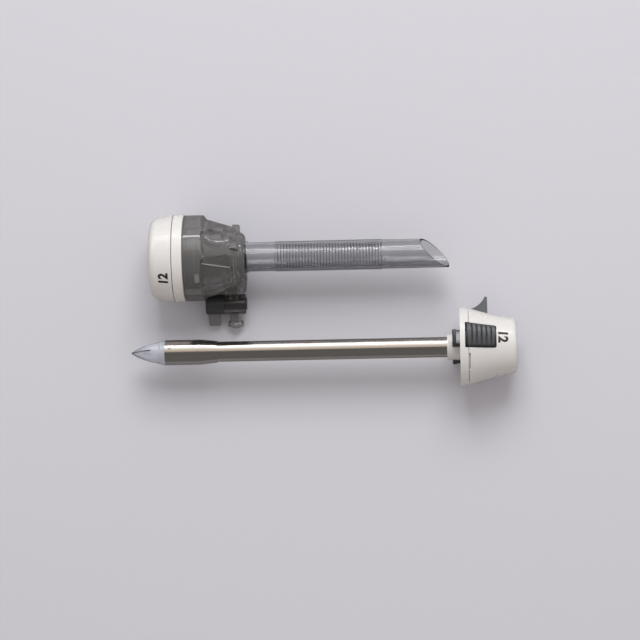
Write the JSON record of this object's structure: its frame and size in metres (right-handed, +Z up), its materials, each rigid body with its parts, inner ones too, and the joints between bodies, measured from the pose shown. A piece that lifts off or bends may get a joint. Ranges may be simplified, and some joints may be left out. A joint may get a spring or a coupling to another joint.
{
  "type": "laparoscopic trocar",
  "caption": "Bladeless laparoscopic trocar for a 12 mm port: cannula with seal cap and stopcock, and obturator with clear tip, release buttons and scope lock.",
  "frame": {"origin": "On the table, in the middle of the footprint of the two units that lie side by side.", "axes": "+X along both units, from the cannula's cap to its sleeve tip; +Y from the obturator to the cannula; +Z up."},
  "size_m": [0.1906, 0.0882, 0.0436],
  "materials": {
    "white_plastic": "smooth warm white moulding",
    "smoke_plastic": "smoke grey translucent moulding",
    "clear_plastic": "clear polycarbonate",
    "dark_plastic": "fine matt dark grey moulding",
    "dark_rubber": "matt elastomer",
    "silicone": "satin translucent silicone",
    "clear_film": "thin smooth film",
    "steel": "bright drawn stainless tube",
    "spring_steel": "drawn wire"
  },
  "bodies": {
    "cannula": {"cannula_sleeve": "clear_plastic", "sleeve_o_ring": "dark_rubber", "valve_housing": "smoke_plastic", "housing_collar": "white_plastic", "duckbill_valve": "silicone", "duckbill_retainer": "white_plastic", "stopcock_body": "smoke_plastic"},
    "stopcock_key": {"stopcock_lever": "dark_plastic"},
    "seal_cap_unit": {"seal_cap": "white_plastic", "seal_carrier": "white_plastic", "seal_crown": "white_plastic", "seal_leaves": "clear_film", "lip_seal": "silicone", "float_gasket": "silicone", "seal_retainer": "white_plastic"},
    "obturator": {"clear_tip": "clear_plastic", "tube_ferrule": "steel", "obturator_tube": "steel", "tube_stop_ring": "steel", "handle_base": "white_plastic", "handle_shell": "white_plastic", "scope_guide": "white_plastic", "latch_spring_front": "spring_steel", "latch_spring_rear": "spring_steel"},
    "front_latch": {"latch_front": "dark_plastic"},
    "rear_latch": {"latch_rear": "dark_plastic"},
    "scope_lock": {"scope_lock_lever": "dark_plastic"},
    "scope_grip": {"scope_pad": "dark_rubber"}
  },
  "joints": [
    {"name": "seal_cap_pull", "type": "slide", "parent": "cannula", "child": "seal_cap_unit", "axis": [-1, 0, 0], "range_m": [0, 0.03]},
    {"name": "stopcock_turn", "type": "hinge", "parent": "cannula", "child": "stopcock_key", "pos_m": [-0.05445, -0.00064, 0.00882], "axis": [-1, 0, 0], "range_deg": [0, 90]},
    {"name": "obturator_lift", "type": "slide", "parent": "cannula", "child": "obturator", "axis": [0, 0, 1], "range_m": [0, 0.06]},
    {"name": "latch_front_press", "type": "hinge", "parent": "obturator", "child": "front_latch", "pos_m": [0.08715, -0.02031, 0.03084], "axis": [0, -0.9426, 0.3338], "range_deg": [0, 3.5], "stiffness_Nm_per_rad": 0.5, "deforming": ["latch_spring_front"]},
    {"name": "latch_rear_press", "type": "hinge", "parent": "obturator", "child": "rear_latch", "pos_m": [0.08715, -0.02799, 0.00916], "axis": [0, 0.9426, -0.3338], "range_deg": [0, 3.5], "stiffness_Nm_per_rad": 0.5, "deforming": ["latch_spring_rear"]},
    {"name": "scope_lock_turn", "type": "hinge", "parent": "obturator", "child": "scope_lock", "pos_m": [0.07665, -0.02415, 0.02], "axis": [-1, 0, 0], "range_deg": [0, 25]},
    {"name": "scope_pad_press", "type": "slide", "parent": "obturator", "child": "scope_grip", "axis": [0, 0.9426, -0.3338], "range_m": [0, 0.0003]}
  ],
  "couplings": [
    {"joint": "scope_pad_press", "follows": "scope_lock_turn", "m_per_rad": 0.00057296}
  ]
}
